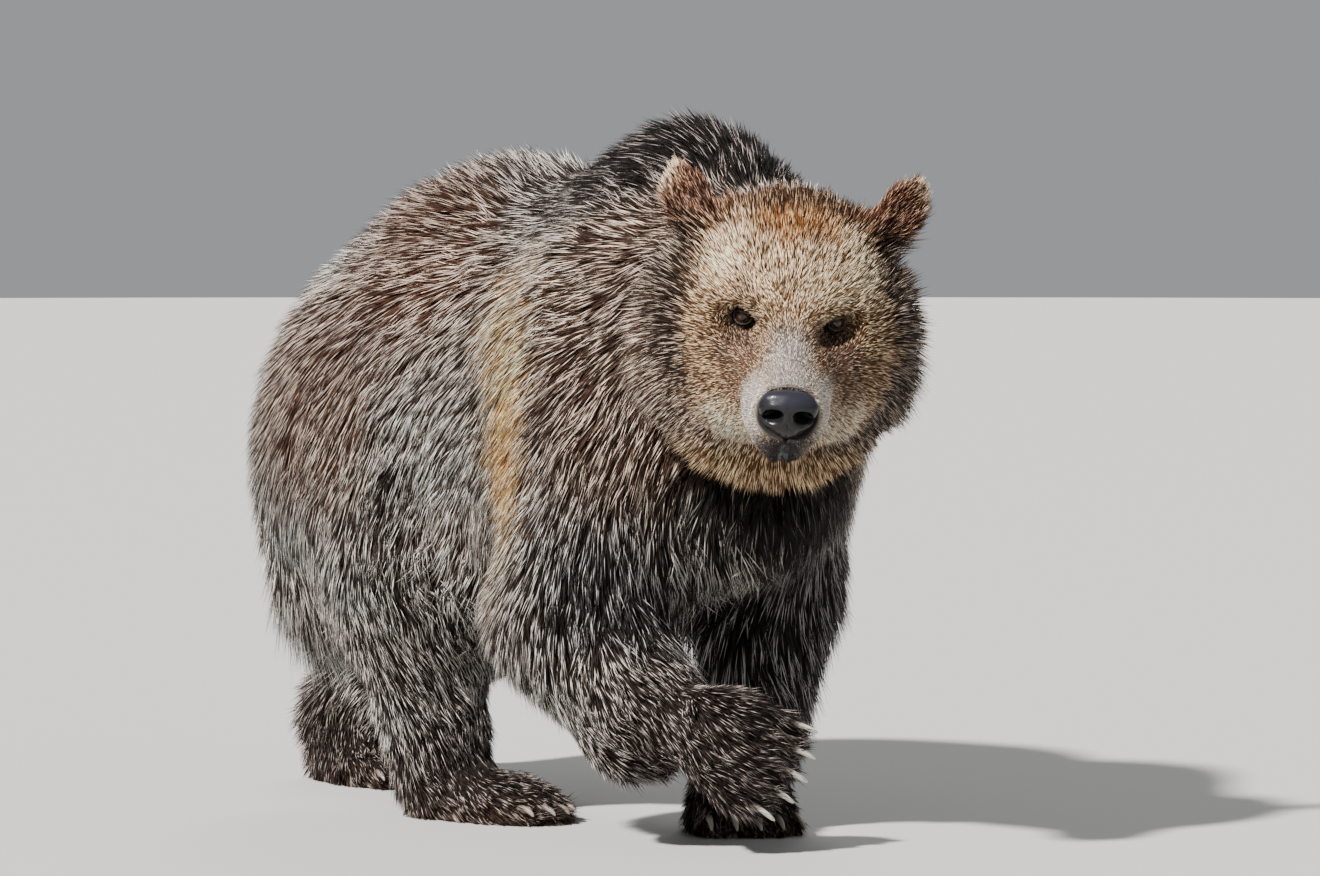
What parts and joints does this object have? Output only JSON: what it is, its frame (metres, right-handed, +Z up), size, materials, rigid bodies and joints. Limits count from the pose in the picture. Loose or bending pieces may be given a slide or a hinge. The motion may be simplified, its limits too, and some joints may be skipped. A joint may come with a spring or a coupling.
{
  "type": "grizzly bear",
  "caption": "Life-size still model of a large brown bear with a shoulder hump, walking, with a front paw raised and the head turned to look ahead.",
  "frame": {"origin": "middle of the bounding box on the ground that the feet stand on", "axes": "+Z up, the body faces -Y, +X is the bear's left"},
  "size_m": [0.7316, 1.856, 1.1294],
  "materials": {
    "coat": "long grey-brown fur with silver tips",
    "face": "short tan fur",
    "dark_coat": "dark brown fur",
    "ear": "short red-brown fur",
    "claw": "smooth ivory-grey horn",
    "nose": "moist black grained skin",
    "eye": "wet dark brown"
  },
  "bodies": {
    "root": {"trunk": "coat", "neck": "coat", "tail": "coat", "upper_arm_right": "dark_coat", "forearm_right": "dark_coat", "front_foot_right": "dark_coat", "front_claw_right_1": "claw", "front_claw_right_2": "claw", "front_claw_right_3": "claw", "front_claw_right_4": "claw", "front_claw_right_5": "claw", "upper_arm_left": "dark_coat", "forearm_left": "dark_coat", "front_foot_left": "dark_coat", "front_claw_left_1": "claw", "front_claw_left_2": "claw", "front_claw_left_3": "claw", "front_claw_left_4": "claw", "front_claw_left_5": "claw", "thigh_right": "dark_coat", "shank_right": "dark_coat", "hind_foot_right": "dark_coat", "hind_claw_right_1": "claw", "hind_claw_right_2": "claw", "hind_claw_right_3": "claw", "hind_claw_right_4": "claw", "hind_claw_right_5": "claw", "thigh_left": "dark_coat", "shank_left": "dark_coat", "hind_foot_left": "dark_coat", "hind_claw_left_1": "claw", "hind_claw_left_2": "claw", "hind_claw_left_3": "claw", "hind_claw_left_4": "claw", "hind_claw_left_5": "claw", "head": "face", "lower_jaw": "face", "ear_right": "ear", "eye_right": "eye", "ear_left": "ear", "eye_left": "eye", "nose": "nose"}
  },
  "joints": []
}
